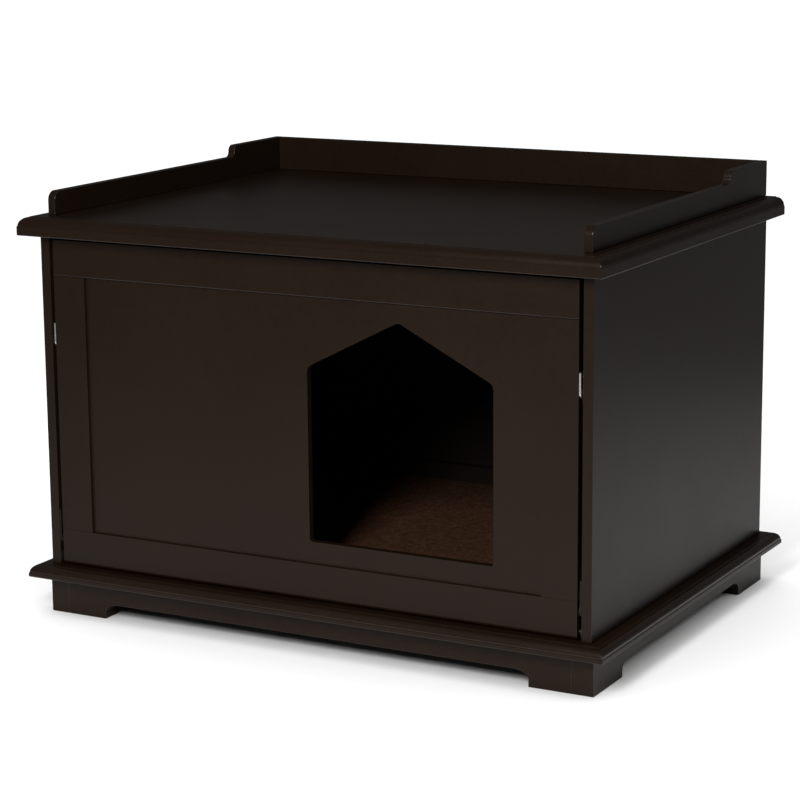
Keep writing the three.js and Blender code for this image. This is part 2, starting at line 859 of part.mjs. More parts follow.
const catchX = catchSpacing / 2;
const strikeX = doorRearY + seam;
const strikeCentreZ = stopRailUnderZ - seam - catchHeight / 2;

function strikeScrewHoles() {
  return [-catchX, catchX].map((x) => {
    const depth = screwLength + runningGap;
    const hole = new THREE.CylinderGeometry(
      screwShankDiameter / 2 + runningGap,
      screwShankDiameter / 2 + runningGap,
      depth,
      roundSteps,
    );
    return hole.translate(x, doorRearY - depth / 2 + seam, strikeCentreZ);
  });
}

function buildCatches() {
  const frontFaceY = strikeX + strikeThickness + catchPoleGap + catchPoleReach;
  const z1 = stopRailUnderZ - seam;
  const housing = block(
    catchX - catchWidth / 2,
    catchX + catchWidth / 2,
    frontFaceY,
    frontFaceY + catchDepth,
    z1 - catchHeight,
    z1,
  );
  const pole = block(
    catchX - catchPoleWidth / 2,
    catchX + catchPoleWidth / 2,
    frontFaceY - catchPoleReach,
    frontFaceY + seam,
    strikeCentreZ - catchPoleHeight / 2,
    strikeCentreZ + catchPoleHeight / 2,
  );
  addPair("magnetic_catch", carve([housing, pole]), "blackPlastic");

  const hole = countersink(0, 1, 0, 0, strikeThickness);
  hole.forEach((cut) => {
    cut.rotateZ(-Math.PI / 2).translate(catchX, strikeX + strikeThickness, strikeCentreZ);
  });
  const strike = block(
    catchX - strikeWidth / 2,
    catchX + strikeWidth / 2,
    strikeX,
    strikeX + strikeThickness,
    strikeCentreZ - strikeHeight / 2,
    strikeCentreZ + strikeHeight / 2,
  );
  addPair("catch_strike", carve([strike], hole), "steel");
  const screw = screwGeometry().rotateZ(-Math.PI / 2);
  addPair("strike_screw", screw, "steel", (mesh) =>
    mesh.position.set(catchX, strikeX + strikeThickness, strikeCentreZ),
  );
}

buildTop();
buildGallery();
buildBase();
buildPlinth();
buildBody();
buildFloor();
buildTopFixings();
buildDoorFrame();
buildDoorPanel();
buildPivots();
buildStayPlates();
buildStayArms();
buildCatches();

export default cabinet;
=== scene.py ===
"""The looks of the cat litter box cabinet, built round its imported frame. Metres."""

import json
import math

import bmesh
import bpy
from mathutils import Matrix, Vector, noise


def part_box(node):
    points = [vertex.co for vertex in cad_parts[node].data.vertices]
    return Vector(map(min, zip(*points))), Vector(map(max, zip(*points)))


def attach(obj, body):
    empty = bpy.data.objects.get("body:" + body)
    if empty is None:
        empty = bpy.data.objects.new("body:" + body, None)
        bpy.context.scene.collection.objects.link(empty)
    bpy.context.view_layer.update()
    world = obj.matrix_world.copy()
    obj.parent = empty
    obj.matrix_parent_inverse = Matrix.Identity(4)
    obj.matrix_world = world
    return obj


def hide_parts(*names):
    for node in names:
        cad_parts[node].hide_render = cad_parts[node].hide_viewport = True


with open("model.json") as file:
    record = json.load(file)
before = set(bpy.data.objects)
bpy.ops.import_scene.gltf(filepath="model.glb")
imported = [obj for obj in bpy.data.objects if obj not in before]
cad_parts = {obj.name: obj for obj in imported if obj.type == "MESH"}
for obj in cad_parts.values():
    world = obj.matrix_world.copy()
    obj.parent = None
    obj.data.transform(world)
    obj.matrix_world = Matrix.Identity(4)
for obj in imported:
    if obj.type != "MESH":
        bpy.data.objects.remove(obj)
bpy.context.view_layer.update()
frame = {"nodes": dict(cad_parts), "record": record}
nodes = frame["nodes"]
scene = bpy.context.scene


# ---------------------------------------------------------------- camera, at the photograph's angle

CAMERA_AT = (1.3973, -2.5948, 0.8730)
CAMERA_YAW = 0.4985
CAMERA_PITCH = -0.2097
CAMERA_ROLL = -0.0084
CAMERA_LENS = 111.8
CAMERA_SENSOR = 36

camera_data = bpy.data.cameras.new("camera")
camera_data.sensor_width = CAMERA_SENSOR
camera_data.lens = CAMERA_LENS
camera = bpy.data.objects.new("camera", camera_data)
scene.collection.objects.link(camera)
camera.matrix_world = (
    Matrix.Translation(CAMERA_AT)
    @ Matrix.Rotation(CAMERA_YAW, 4, "Z")
    @ Matrix.Rotation(math.pi / 2 + CAMERA_PITCH, 4, "X")
    @ Matrix.Rotation(CAMERA_ROLL, 4, "Z")
)
scene.camera = camera


# ---------------------------------------------------------------- node helpers


SHADER_SOCKETS = {
    "metallic": "Metallic",
    "roughness": "Roughness",
    "specular_ior_level": "Specular IOR Level",
}
# A Mix node repeats its socket names for every kind of value, so its colour sockets go by number.
MIX_COLOR_A, MIX_COLOR_B, MIX_COLOR_RESULT = 6, 7, 2


class Nodes:
    """A material's node tree, with short calls for the nodes that the finishes use."""

    def __init__(self, name):
        self.material = bpy.data.materials.new(name)
        self.material.use_nodes = True
        self.tree = self.material.node_tree
        self.shader = self.tree.nodes["Principled BSDF"]
        self.space = self.tree.nodes.new("ShaderNodeTexCoord").outputs["Object"]

    def link(self, source, target):
        self.tree.links.new(source, target)

    def add(self, kind, **settings):
        node = self.tree.nodes.new(kind)
        for key, value in settings.items():
            setattr(node, key, value)
        return node

    def stretched(self, scale):
        """The object's own coordinates, stretched by a scale for each axis."""
        mapping = self.add("ShaderNodeMapping")
        mapping.inputs["Scale"].default_value = scale
        self.link(self.space, mapping.inputs["Vector"])
        return mapping.outputs["Vector"]

    def noise(self, scale, detail=3.0, roughness=0.5, space=None, distortion=0.0):
        node = self.add("ShaderNodeTexNoise")
        node.inputs["Scale"].default_value = scale
        node.inputs["Detail"].default_value = detail
        node.inputs["Roughness"].default_value = roughness
        node.inputs["Distortion"].default_value = distortion
        self.link(space or self.space, node.inputs["Vector"])
        return node.outputs["Fac"]

    def cells(self, scale):
        node = self.add("ShaderNodeTexVoronoi")
        node.inputs["Scale"].default_value = scale
        self.link(self.space, node.inputs["Vector"])
        return node.outputs["Distance"]

    def remap(self, value, low, high, to_low, to_high):
        node = self.add("ShaderNodeMapRange", clamp=True)
        node.inputs["From Min"].default_value = low
        node.inputs["From Max"].default_value = high
        node.inputs["To Min"].default_value = to_low
        node.inputs["To Max"].default_value = to_high
        self.link(value, node.inputs["Value"])
        return node.outputs["Result"]

    def spread(self, value, low=0.3, high=0.7):
        """Widens the middle of a noise, where most of its values lie, to the whole of 0 to 1."""
        return self.remap(value, low, high, 0.0, 1.0)

    def math(self, operation, a, b):
        node = self.add("ShaderNodeMath", operation=operation)
        for socket, value in zip(node.inputs, (a, b)):
            if isinstance(value, (int, float)):
                socket.default_value = value
            else:
                self.link(value, socket)
        return node.outputs["Value"]

    def mix(self, factor, a, b):
        """A colour between a and b, each a colour or a socket."""
        node = self.add("ShaderNodeMix", data_type="RGBA")
        self.link(factor, node.inputs["Factor"])
        for socket, value in ((node.inputs[MIX_COLOR_A], a), (node.inputs[MIX_COLOR_B], b)):
            if isinstance(value, tuple):
                socket.default_value = (*value, 1.0)
            else:
                self.link(value, socket)
        return node.outputs[MIX_COLOR_RESULT]

    def bump(self, height, strength, distance, below=None):
        node = self.add("ShaderNodeBump")
        node.inputs["Strength"].default_value = strength
        node.inputs["Distance"].default_value = distance
        self.link(height, node.inputs["Height"])
        if below is not None:
            self.link(below, node.inputs["Normal"])
        return node.outputs["Normal"]

    def finish(self, color=None, gloss=None, normal=None, **uniform):
        """Links the textured inputs, and sets the uniform ones on the shader itself."""
        inputs = self.shader.inputs
        for name, value in (("Base Color", color), ("Roughness", gloss), ("Normal", normal)):
            if value is not None:
                self.link(value, inputs[name])
        for name, value in uniform.items():
            inputs[SHADER_SOCKETS[name]].default_value = value
        return self.material


def scaled(color, factor):
    return tuple(c * factor for c in color)


# ---------------------------------------------------------------- finishes

# Colours are linear. A count per metre is a noise's scale: 420 per metre is one about every 2.4 mm.

ESPRESSO = (0.0161, 0.0083, 0.0043)
PAINT_SHINE = 0.21
SATIN_ROUGHNESS = (0.29, 0.34)
ARRIS_SHINE = 0.55
ARRIS_SMOOTHER = 0.1
MOTTLES_PER_METRE = 7.0
GRAINS_PER_METRE = 160.0
RIPPLES_PER_METRE = 420.0
RIPPLE_HEIGHT = 0.0004
NIBS_PER_METRE = 260.0
NIB_SHARE = 0.06
NIB_HEIGHT = 0.0003


def painted_board(name, shine, smoother=0.0):
    """Satin espresso lacquer sprayed on fibreboard: a faint mottle, the spray's ripple and fine nibs."""
    n = Nodes(name)
    mottle = n.spread(n.noise(MOTTLES_PER_METRE, 4.0, 0.6))
    grain = n.spread(n.noise(GRAINS_PER_METRE))
    tone = n.mix(mottle, scaled(ESPRESSO, 0.9), scaled(ESPRESSO, 1.1))
    grainy = n.mix(n.math("MULTIPLY", grain, 0.25), tone, scaled(ESPRESSO, 1.7))
    smoothest, roughest = SATIN_ROUGHNESS
    satin = n.remap(mottle, 0.0, 1.0, smoothest - smoother, roughest - smoother)
    gloss = n.math("ADD", satin, n.remap(grain, 0.0, 1.0, 0.0, 0.03))
    ripple = n.bump(n.noise(RIPPLES_PER_METRE, 2.0), 0.10, RIPPLE_HEIGHT)
    dots = n.remap(n.cells(NIBS_PER_METRE), 0.0, NIB_SHARE, 1.0, 0.0)
    return n.finish(grainy, gloss, n.bump(dots, 0.05, NIB_HEIGHT, ripple), specular_ior_level=shine)


INNER_BOARD = (0.011, 0.0066, 0.0048)
INNER_BOARD_SHINE = 0.15
INNER_BOARD_ROUGHNESS = (0.55, 0.7)
FLECKS_PER_METRE = 700.0
FLECK_HEIGHT = 0.0002
BOARD_CLOUDS_PER_METRE = 12.0


def plain_board(name, color):
    """Brown faced board inside the cabinet: matt, with a fine fibrous fleck."""
    n = Nodes(name)
    fleck = n.spread(n.noise(FLECKS_PER_METRE, 4.0, 0.7), 0.35, 0.65)
    cloud = n.spread(n.noise(BOARD_CLOUDS_PER_METRE, 4.0))
    tone = n.mix(cloud, scaled(color, 0.8), scaled(color, 1.15))
    flecked = n.mix(n.math("MULTIPLY", fleck, 0.5), tone, scaled(color, 1.6))
    gloss = n.remap(fleck, 0.0, 1.0, *INNER_BOARD_ROUGHNESS)
    relief = n.bump(fleck, 0.15, FLECK_HEIGHT)
    return n.finish(flecked, gloss, relief, specular_ior_level=INNER_BOARD_SHINE)


FELT_DARK = (0.036, 0.0160, 0.0085)
FELT_MIDDLE = (0.072, 0.033, 0.0170)
FELT_TUFT = (0.124, 0.059, 0.032)
FELT_SPECK = (0.20, 0.12, 0.08)
FELT_SHINE = 0.05
FIBRES_PER_METRE = 420.0
FIBRE_WIDTH_TO_LENGTH = 0.25
FIBRE_CURL = 0.6
CLUMPS_PER_METRE = 110.0
SPECKS_PER_METRE = 900.0
PILE_HEIGHT = 0.0010


def felt(name):
    """Needle-punched brown felt: short fibres of several browns lying every way."""
    n = Nodes(name)
    lying = ((1.0, FIBRE_WIDTH_TO_LENGTH, 1.0), (FIBRE_WIDTH_TO_LENGTH, 1.0, 1.0))
    along, across = (
        n.noise(FIBRES_PER_METRE, 3.0, 0.7, n.stretched(way), FIBRE_CURL) for way in lying
    )
    fibres = n.math("MAXIMUM", along, across)
    tuft = n.spread(fibres, 0.48, 0.72)
    clump = n.spread(n.noise(CLUMPS_PER_METRE, 4.0, 0.65))
    color = n.mix(tuft, n.mix(clump, FELT_DARK, FELT_MIDDLE), FELT_TUFT)
    speck = n.spread(n.noise(SPECKS_PER_METRE, 2.0), 0.62, 0.7)
    specked = n.mix(n.math("MULTIPLY", speck, 0.5), color, FELT_SPECK)
    pile = n.bump(n.math("ADD", fibres, n.math("MULTIPLY", clump, 0.5)), 0.8, PILE_HEIGHT)
    return n.finish(specked, None, pile, roughness=1.0, specular_ior_level=FELT_SHINE)


ZINC_PLATE = (0.86, 0.85, 0.82)
ZINC_ROUGHNESS = 0.29
# Dark steel is the catch magnet's own dark colour. It is also painted shade on the stay's metal deep in
# the door's side gaps.
DARK_STEEL_TONE = (0.040, 0.035, 0.030)
DARK_STEEL_ROUGHNESS = 0.45
ROLL_LINES_PER_METRE = 2600.0
ROLL_LINE_WIDTH_TO_LENGTH = 0.06
ROLL_LINE_HEIGHT = 0.0001
PLATING_CLOUDS_PER_METRE = 110.0


def rolled_steel(name, color, roughness):
    """Rolled steel strip: fine lines along the strip and a soft cloudiness in its plating."""
    n = Nodes(name)
    lines = n.noise(ROLL_LINES_PER_METRE, 3.0, 0.6, n.stretched((1.0, 1.0, ROLL_LINE_WIDTH_TO_LENGTH)))
    cloud = n.spread(n.noise(PLATING_CLOUDS_PER_METRE, 4.0, 0.6))
    tone = n.mix(cloud, scaled(color, 0.89), scaled(color, 1.11))
    streaks = n.remap(lines, 0.3, 0.7, roughness - 0.05, roughness + 0.05)
    gloss = n.math("ADD", streaks, n.remap(cloud, 0.0, 1.0, 0.0, 0.06))
    return n.finish(tone, gloss, n.bump(lines, 0.12, ROLL_LINE_HEIGHT), metallic=1.0)


BROWN_NYLON = (0.016, 0.010, 0.008)
NYLON_ROUGHNESS = 0.5
BLACK_PLASTIC = (0.012, 0.012, 0.012)
PLASTIC_ROUGHNESS = 0.42
MOULD_PITS_PER_METRE = 1800.0
MOULD_PIT_HEIGHT = 0.0001
PLASTIC_CLOUDS_PER_METRE = 60.0


def moulded_plastic(name, color, roughness):
    """Injection-moulded plastic with a fine spark-eroded texture."""
    n = Nodes(name)
    pits = n.noise(MOULD_PITS_PER_METRE, 2.0)
    cloud = n.spread(n.noise(PLASTIC_CLOUDS_PER_METRE))
    tone = n.mix(cloud, scaled(color, 0.92), scaled(color, 1.08))
    gloss = n.remap(pits, 0.3, 0.7, roughness - 0.05, roughness + 0.07)
    return n.finish(tone, gloss, n.bump(pits, 0.2, MOULD_PIT_HEIGHT))


materials = {
    "espresso_paint": painted_board("espresso_paint", PAINT_SHINE),
    "brown_board": plain_board("brown_board", INNER_BOARD),
    "felt_mat": felt("felt_mat"),
    "steel": rolled_steel("steel", ZINC_PLATE, ZINC_ROUGHNESS),
    # dark_steel is partly painted shade: it darkens the stay's metal seen in the door's side gaps.
    "dark_steel": rolled_steel("dark_steel", DARK_STEEL_TONE, DARK_STEEL_ROUGHNESS),
    "nylon": moulded_plastic("nylon", BROWN_NYLON, NYLON_ROUGHNESS),
    "black_plastic": moulded_plastic("black_plastic", BLACK_PLASTIC, PLASTIC_ROUGHNESS),
}

# Paint draws thin and glossy over a sanded arris, so the arrises catch the light as fine lines.
arris_paint = painted_board("arris_paint", ARRIS_SHINE, ARRIS_SMOOTHER)

slot_of = {part["node"]: part["material_slot"] for part in frame["record"]["subparts"]}
for name, piece in nodes.items():
    piece.data.materials.clear()
    piece.data.materials.append(materials[slot_of[name]])
    if slot_of[name] == "espresso_paint":
        piece.data.materials.append(arris_paint)


# ---------------------------------------------------------------- softened edges

ARRIS = {"espresso_paint": 0.0007, "brown_board": 0.0004, "steel": 0.00012, "dark_steel": 0.00012}
ARRIS_FACE_WIDTH = 0.0008
ARRIS_SEGMENTS = 3
ARRIS_ANGLE = math.radians(30)
SQUARE_TO_AXIS = 0.999
WELD_DISTANCE = 2e-6
FLAT_WITHIN = math.radians(0.5)
ARRIS_MATERIAL = 1
LARGE_FACES_LEAD = 100


def is_arris(mesh, polygon):
    """Whether a face is one narrow slope of a rounded arris."""
    if max(abs(c) for c in polygon.normal) > SQUARE_TO_AXIS:
        return False
    corners = [mesh.vertices[i].co for i in polygon.vertices]
    longest = max((a - b).length for a, b in zip(corners, corners[1:] + corners[:1]))
    return 2 * polygon.area / longest < ARRIS_FACE_WIDTH


def soften(piece, width):
    """Rounds a node's sharp edges a little, as sanding and paint leave them."""
    weld = piece.modifiers.new("weld", "WELD")
    weld.merge_threshold = WELD_DISTANCE
    flat = piece.modifiers.new("flat", "DECIMATE")
    flat.decimate_type = "DISSOLVE"
    flat.angle_limit = FLAT_WITHIN
    bevel = piece.modifiers.new("arris", "BEVEL")
    bevel.width = width
    bevel.segments = ARRIS_SEGMENTS
    bevel.limit_method = "ANGLE"
    bevel.angle_limit = ARRIS_ANGLE
    bevel.use_clamp_overlap = True
    if len(piece.data.materials) > ARRIS_MATERIAL:
        bevel.material = ARRIS_MATERIAL
    shading = piece.modifiers.new("shading", "WEIGHTED_NORMAL")
    shading.weight = LARGE_FACES_LEAD


for name, piece in nodes.items():
    painted = slot_of[name] == "espresso_paint"
    for polygon in piece.data.polygons:
        polygon.use_smooth = True
        polygon.material_index = ARRIS_MATERIAL if painted and is_arris(piece.data, polygon) else 0
    imported = piece.data.attributes.get("custom_normal")
    if imported is not None:
        piece.data.attributes.remove(imported)
    if slot_of[name] in ARRIS:
        soften(piece, ARRIS[slot_of[name]])


# ---------------------------------------------------------------- helpers for the modelled pieces

bodies = frame["record"]["behaviour"]["bodies"]
body_of = {node: body for body, members in bodies.items() for node in members}


def new_piece(name, bm, body, slot_name, *replaced):
    """A finished mesh as a piece that rides on a body, in the finish of a record slot."""
    bmesh.ops.recalc_face_normals(bm, faces=bm.faces)
    mesh = bpy.data.meshes.new(name)
    bm.to_mesh(mesh)
    bm.free()
    mesh.materials.append(materials[slot_name])
    piece = bpy.data.objects.new(name, mesh)
    scene.collection.objects.link(piece)
    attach(piece, body)
    if replaced:
        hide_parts(*replaced)
    return piece


def ring(bm, steps, height, radius_at):
    """A ring of vertices round Z, with a radius worked out at each angle."""
    angles = [2 * math.pi * i / steps for i in range(steps)]
    return [
        bm.verts.new((radius_at(a) * math.cos(a), radius_at(a) * math.sin(a), height)) for a in angles
    ]


def bridge(bm, lower, upper):
    """A band of faces between two loops of the same length."""
    for i, here in enumerate(lower):
        after = (i + 1) % len(lower)
        bm.faces.new((here, lower[after], upper[after], upper[i]))


def close_loop(bm, loop):
    """The edges that join a row of vertices into a loop."""
    return [bm.edges.new((v, loop[(i + 1) % len(loop)])) for i, v in enumerate(loop)]


# ---------------------------------------------------------------- screws

SCREW_STEPS = 28
RIM_ROUNDING = 0.00012
CONE_HEIGHT = 0.001
SHANK_SHARE = 0.5
THREAD_ROOT_SHARE = 0.36
THREAD_PITCH = 0.0012
RINGS_PER_PITCH = 6
POINT_LENGTH = 0.003
RECESS_HALF_WIDTH = 0.00042
RECESS_REACH = 0.0017
RECESS_DEPTH = 0.0009
RECESS_TAPER = 0.45


def cross_loop(bm, half_width, reach, height):
    """The twelve corners of a driver recess, in order round Z."""
    loop = []
    for quarter in range(4):
        turn = Matrix.Rotation(quarter * math.pi / 2, 2)
        for corner in ((reach, -half_width), (reach, half_width), (half_width, half_width)):
            x, y = turn @ Vector(corner)
            loop.append(bm.verts.new((x, y, height)))
    return loop


def screw_mesh(head_radius, length):
    """A countersunk wood screw with a cross recess, head up at the origin and its point downward."""
    bm = bmesh.new()
    face_rim = ring(bm, SCREW_STEPS, 0.0, lambda a: head_radius - RIM_ROUNDING)
    mouth = cross_loop(bm, RECESS_HALF_WIDTH, RECESS_REACH, 0.0)
    bmesh.ops.triangle_fill(bm, use_beauty=True, edges=close_loop(bm, face_rim) + close_loop(bm, mouth))
    taper = RECESS_TAPER
    foot = cross_loop(bm, RECESS_HALF_WIDTH * taper, RECESS_REACH * taper, -RECESS_DEPTH)
    bridge(bm, mouth, foot)
    bm.faces.new(foot)

    def thread(height):
        """The radius at each angle of the helical ridge, drawn in to nothing at the point."""
        into_point = max(0.0, -height - (length - POINT_LENGTH)) / POINT_LENGTH

        def radius_at(angle):
            phase = (height / THREAD_PITCH + angle / (2 * math.pi)) % 1.0
            ridge = max(0.0, 1.0 - 4.0 * abs(phase - 0.5))
            share = THREAD_ROOT_SHARE + (SHANK_SHARE - THREAD_ROOT_SHARE) * ridge
            return head_radius * share * (1.0 - into_point)

        return radius_at

    below = ring(bm, SCREW_STEPS, -RIM_ROUNDING, lambda a: head_radius)
    bridge(bm, face_rim, below)
    neck = ring(bm, SCREW_STEPS, -CONE_HEIGHT, lambda a: head_radius * SHANK_SHARE)
    bridge(bm, below, neck)
    ring_gap = THREAD_PITCH / RINGS_PER_PITCH
    last = neck
    for i in range(1, int((length - CONE_HEIGHT) / ring_gap)):
        height = -CONE_HEIGHT - i * ring_gap
        turn = ring(bm, SCREW_STEPS, height, thread(height))
        bridge(bm, last, turn)
        last = turn
    tip = bm.verts.new((0.0, 0.0, -length))
    for i, here in enumerate(last):
        bm.faces.new((here, last[(i + 1) % SCREW_STEPS], tip))
    return bm


def seat(bm, head_at, outward, turned):
    """Turns a mesh that has its head up at the origin to its seat, facing outward."""
    facing = Vector((0, 0, 1)).rotation_difference(outward).to_matrix().to_4x4()
    bm.transform(Matrix.Translation(head_at) @ facing @ Matrix.Rotation(turned, 4, "Z"))


def screw_faces(name, middle):
    """The way that the head of a screw looks, from the piece that it holds."""
    side = math.copysign(1.0, middle.x)
    if name.startswith("anchor"):
        return Vector((-side, 0, 0))
    if name.startswith("door_plate"):
        return Vector((side, 0, 0))
    return Vector((0, 1, 0))


def drive_screw(name, turned):
    """A screw with its recess and thread, in place of its plain pin."""
    low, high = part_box(name)
    middle, half = (low + high) / 2, (high - low) / 2
    outward = screw_faces(name, middle)
    bm = screw_mesh(min(half), 2 * max(half))
    seat(bm, middle + outward * max(half), outward, turned)
    new_piece(name + "_driven", bm, body_of[name], slot_of[name], name)


# Each screw stops at an angle of its own.
DRIVEN_TURN = 2.4
for index, name in enumerate(sorted(node for node in nodes if "screw" in node)):
    drive_screw(name, index * DRIVEN_TURN)


# ---------------------------------------------------------------- magnetic catches

EAR_THICKNESS = 0.0026
EAR_LENGTH = 0.0075
CATCH_ROUNDING = 0.0006
POLE_REACH = 0.0012
POLE_BURIED = 0.0003
POLE_THICKNESS = 0.0014
POLE_WIDTH = 0.026
POLES_HEIGHT = 0.008
EAR_SCREW_RADIUS = 0.0025
EAR_SCREW_LENGTH = 0.009
EAR_SCREW_PROUD = 0.0003
PLATE_ROUNDING = POLE_THICKNESS / 8


def slab(bm, low, high):
    """Adds a closed block between two corners."""
    for vert in bmesh.ops.create_cube(bm, size=1.0)["verts"]:
        for axis in range(3):
            vert.co[axis] = high[axis] if vert.co[axis] > 0 else low[axis]


def rounded(bm, width):
    """Rounds every edge of a mesh."""
    bmesh.ops.bevel(bm, geom=bm.edges[:], offset=width, segments=2, affect="EDGES", profile=0.5)


def catch_housing(low, high):
    """The moulded block with a screwed ear at each end, in one T-shaped section."""
    bm = bmesh.new()
    block_low, block_high = low.x + EAR_LENGTH, high.x - EAR_LENGTH
    ear_z = high.z - EAR_THICKNESS
    outline = (
        (low.x, high.z),
        (low.x, ear_z),
        (block_low, ear_z),
        (block_low, low.z),
        (block_high, low.z),
        (block_high, ear_z),
        (high.x, ear_z),
        (high.x, high.z),
    )
    front_y = low.y + POLE_REACH
    front = bm.faces.new([bm.verts.new((x, front_y, z)) for x, z in outline])
    grown = bmesh.ops.extrude_face_region(bm, geom=[front])["geom"]
    back = [v for v in grown if isinstance(v, bmesh.types.BMVert)]
    bmesh.ops.translate(bm, vec=(0, high.y - front_y, 0), verts=back)
    rounded(bm, CATCH_ROUNDING)
    return bm


def pole_plates(low, high):
    """The two steel plates that stand out above and below the magnet."""
    bm = bmesh.new()
    middle = (low + high) / 2
    for way in (-1, 1):
        outer = middle.z + way * POLES_HEIGHT / 2
        inner = outer - way * POLE_THICKNESS
        slab(
            bm,
            (middle.x - POLE_WIDTH / 2, low.y, min(inner, outer)),
            (middle.x + POLE_WIDTH / 2, low.y + POLE_REACH + POLE_BURIED, max(inner, outer)),
        )
    rounded(bm, PLATE_ROUNDING)
    return bm


def magnet_block(low, high):
    """The ferrite between the plates, set back from their edges."""
    bm = bmesh.new()
    middle = (low + high) / 2
    half_height = POLES_HEIGHT / 2 - POLE_THICKNESS
    slab(
        bm,
        (middle.x - POLE_WIDTH / 2, low.y + POLE_REACH / 2, middle.z - half_height),
        (middle.x + POLE_WIDTH / 2, low.y + POLE_REACH + POLE_BURIED, middle.z + half_height),
    )
    rounded(bm, PLATE_ROUNDING)
    return bm


def dress_catch(side):
    """The pieces of one catch, in place of its plain block."""
    node = "magnetic_catch_" + side
    body = body_of[node]
    low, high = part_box(node)
    new_piece("catch_housing_" + side, catch_housing(low, high), body, slot_of[node], node)
    new_piece("catch_poles_" + side, pole_plates(low, high), body, "steel")
    new_piece("catch_magnet_" + side, magnet_block(low, high), body, "dark_steel")
    head_y = (low.y + POLE_REACH + high.y) / 2
    head_z = high.z - EAR_THICKNESS - EAR_SCREW_PROUD
    for number, x in enumerate((low.x + EAR_LENGTH / 2, high.x - EAR_LENGTH / 2), 1):
        bm = screw_mesh(EAR_SCREW_RADIUS, EAR_SCREW_LENGTH)
        seat(bm, Vector((x, head_y, head_z)), Vector((0, 0, -1)), number * DRIVEN_TURN)
        new_piece(f"catch_screw_{number}_{side}", bm, body, "steel")


dress_catch("right")
dress_catch("left")


# ---------------------------------------------------------------- felt mat

MAT_CELL = 0.003
MAT_EDGE_LINES = (0.0, 0.0003, 0.0008, 0.0016)
MAT_ROUNDING = 0.0014
MAT_TUFTS = 0.0006
MAT_WAVES = 0.0003
MAT_FRAY = 0.0005
TUFTS_PER_METRE = 260.0
WAVES_PER_METRE = 11.0
FRAYS_PER_METRE = 90.0
FRAY_EDGES_APART = 7.0
# The tufts' fractal: how fast its octaves fade, how much finer each one is, and their number.
TUFT_OCTAVES = (0.8, 2.0, 3)


def grid_lines(low, high):
    """Places across the mat: close together at its edges and even between them."""
    inner_low, inner_high = low + MAT_EDGE_LINES[-1], high - MAT_EDGE_LINES[-1]
    count = round((inner_high - inner_low) / MAT_CELL)
    even = [inner_low + (inner_high - inner_low) * i / count for i in range(1, count)]
    return [low + e for e in MAT_EDGE_LINES] + even + [high - e for e in reversed(MAT_EDGE_LINES)]


def mat_mesh(low, high):
    """Needle-punched felt: tufted on top, rounded at its cut edges, and flat underneath."""
    bm = bmesh.new()
    columns, rows = grid_lines(low.x, high.x), grid_lines(low.y, high.y)

    def edge_drop(x, y):
        inside = min(x - low.x, high.x - x, y - low.y, high.y - y)
        short = max(0.0, MAT_ROUNDING - inside)
        return MAT_ROUNDING - math.sqrt(MAT_ROUNDING**2 - short**2)

    def fray(place, edge):
        """How far a cut edge stands back at a place along it."""
        spot = Vector((place * FRAYS_PER_METRE, edge * FRAY_EDGES_APART, 0.0))
        return MAT_FRAY * (0.5 + 0.5 * noise.noise(spot))

    top = []
    for y in rows:
        line = []
        for x in columns:
            tufts = 0.5 + 0.5 * noise.fractal(Vector((x, y, 0.0)) * TUFTS_PER_METRE, *TUFT_OCTAVES)
            waves = 0.5 + 0.5 * noise.noise(Vector((x, y, 3.0)) * WAVES_PER_METRE)
            z = high.z - edge_drop(x, y) - MAT_TUFTS * min(1.0, max(0.0, tufts)) - MAT_WAVES * waves
            px = x + fray(y, 1.0) * (x == low.x) - fray(y, 2.0) * (x == high.x)
            py = y + fray(x, 3.0) * (y == low.y) - fray(x, 4.0) * (y == high.y)
            line.append(bm.verts.new((px, py, max(z, low.z + MAT_TUFTS))))
        top.append(line)
    for near, far in zip(top, top[1:]):
        for a, b, c, d in zip(near, near[1:], far[1:], far):
            bm.faces.new((a, b, c, d))
    rim = top[0] + [line[-1] for line in top[1:]] + top[-1][-2::-1] + [line[0] for line in top[-2:0:-1]]
    foot = [bm.verts.new((v.co.x, v.co.y, low.z)) for v in rim]
    bridge(bm, rim, foot)
    bm.faces.new(foot)
    return bm


low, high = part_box("floor_mat")
mat = new_piece("felt_mat", mat_mesh(low, high), body_of["floor_mat"], "felt_mat", "floor_mat")


# ---------------------------------------------------------------- floor, lights and room

FLOOR_REACH = 1.7
FLOOR_MIDDLE_Y = -0.2
FLOOR_RIM_STEP = 5
FLOOR_TONES = ((0.87, 0.87, 0.87), (0.89, 0.89, 0.89))
FLOOR_ROUGHNESS = 0.8
FLOOR_SHINE = 0.1
# A painted pool of light on the floor. Its colour share fades between these two distances from the
# cabinet's middle.
PAINTED_POOL_NEAR, PAINTED_POOL_FAR = 0.6, 1.7
PAINTED_POOL_SHARE, PAINTED_POOL_EDGE_SHARE = 0.57, 0.23

KEY_AT = (0.42, -2.14, 1.42)
KEY_TOWARDS = (0.12, -0.25, 0.25)
KEY_SIZE = (0.40, 0.85)
KEY_POWER = 37
ABOVE_STRENGTH = 3.6
ABOVE_SPREAD = math.radians(110)

BACKDROP_STRENGTH = 1.1
# Each stop is a height, from 0 straight down to 1 straight up, and the room's brightness there.
ROOM = ((0.0, 0.166), (0.47, 0.166), (0.50, 0.068), (0.58, 0.068), (1.0, 0.095))


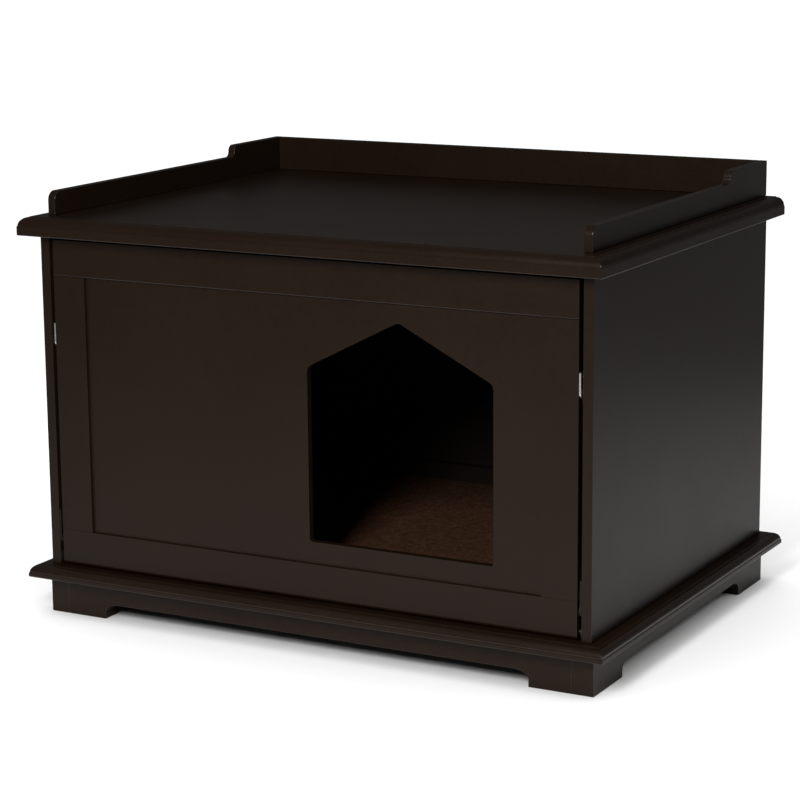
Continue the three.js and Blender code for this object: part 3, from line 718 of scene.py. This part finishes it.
def floor_finish():
    """Pale to the camera. To every other ray its colour is a painted pool of light that fades out from
    the cabinet, and the paint mirrors that.
    """
    pale = Nodes("studio_floor")
    floor_tone = pale.mix(pale.noise(2.0, 2.0), *FLOOR_TONES)
    away = pale.add("ShaderNodeVectorMath", operation="LENGTH")
    pale.link(pale.space, away.inputs[0])
    # Painted pool of light: the floor's colour fades with distance and stands in for lamp light falling
    # off.
    pool = pale.remap(away.outputs["Value"], PAINTED_POOL_NEAR, PAINTED_POOL_FAR, PAINTED_POOL_SHARE, PAINTED_POOL_EDGE_SHARE)
    shown = pale.math("MAXIMUM", pool, pale.add("ShaderNodeLightPath").outputs["Is Camera Ray"])
    lit = pale.mix(shown, (0.0, 0.0, 0.0), floor_tone)
    return pale.finish(lit, roughness=FLOOR_ROUGHNESS, specular_ior_level=FLOOR_SHINE)


def studio_floor():
    """A plain round floor, which isn't part of the object."""
    floor_mesh = bpy.data.meshes.new("studio_floor")
    rim = [
        (FLOOR_REACH * math.cos(a), FLOOR_REACH * math.sin(a) + FLOOR_MIDDLE_Y, 0.0)
        for a in (math.radians(step) for step in range(0, 360, FLOOR_RIM_STEP))
    ]
    floor_mesh.from_pydata(rim, [], [tuple(range(len(rim)))])
    floor_mesh.materials.append(floor_finish())
    floor = bpy.data.objects.new("studio_floor", floor_mesh)
    scene.collection.objects.link(floor)
    return floor


def key_light():
    """A tall soft box in front of the cabinet, which throws the lit patch on the mat."""
    data = bpy.data.lights.new("key", "AREA")
    data.shape = "RECTANGLE"
    data.size, data.size_y = KEY_SIZE
    data.energy = KEY_POWER
    light = bpy.data.objects.new("key", data)
    scene.collection.objects.link(light)
    light.location = KEY_AT
    aim = Vector(KEY_TOWARDS) - Vector(KEY_AT)
    light.rotation_mode = "QUATERNION"
    light.rotation_quaternion = aim.to_track_quat("-Z", "Y")


def light_above(floor):
    """An even light on the floor alone: it stays pale, and the cabinet's top is left to the key."""
    floor_only = bpy.data.collections.new("floor_only")
    floor_only.objects.link(floor)
    above = bpy.data.objects.new("above", bpy.data.lights.new("above", "SUN"))
    scene.collection.objects.link(above)
    above.data.energy = ABOVE_STRENGTH
    above.data.angle = ABOVE_SPREAD
    above.light_linking.receiver_collection = floor_only


def set_stops(color_ramp, stops):
    """Gives a ramp its grey stops, each a position and a brightness."""
    while len(color_ramp.elements) < len(stops):
        color_ramp.elements.new(0.5)
    for stop, (position, value) in zip(color_ramp.elements, stops):
        stop.position = position
        stop.color = (value, value, value, 1.0)


def studio_room():
    """Plain white to the camera. The paint mirrors a dim room, darkest at and just over the horizon."""
    world = bpy.data.worlds.new("studio")
    scene.world = world
    world.use_nodes = True
    sky = world.node_tree
    backdrop = sky.nodes["Background"]
    backdrop.inputs["Color"].default_value = (1.0, 1.0, 1.0, 1.0)
    backdrop.inputs["Strength"].default_value = BACKDROP_STRENGTH
    room = sky.nodes.new("ShaderNodeBackground")
    height = sky.nodes.new("ShaderNodeMapRange")
    height.inputs["From Min"].default_value = -1.0
    ramp = sky.nodes.new("ShaderNodeValToRGB")
    split = sky.nodes.new("ShaderNodeSeparateXYZ")
    coords = sky.nodes.new("ShaderNodeTexCoord")
    seen = sky.nodes.new("ShaderNodeLightPath")
    either = sky.nodes.new("ShaderNodeMixShader")
    sky.links.new(coords.outputs["Generated"], split.inputs["Vector"])
    sky.links.new(split.outputs["Z"], height.inputs["Value"])
    sky.links.new(height.outputs["Result"], ramp.inputs["Fac"])
    sky.links.new(ramp.outputs["Color"], room.inputs["Color"])
    sky.links.new(seen.outputs["Is Camera Ray"], either.inputs["Fac"])
    sky.links.new(room.outputs["Background"], either.inputs[1])
    sky.links.new(backdrop.outputs["Background"], either.inputs[2])
    sky.links.new(either.outputs["Shader"], sky.nodes["World Output"].inputs["Surface"])
    set_stops(ramp.color_ramp, ROOM)


floor = studio_floor()
key_light()
light_above(floor)
studio_room()
scene.view_settings.view_transform = "Standard"
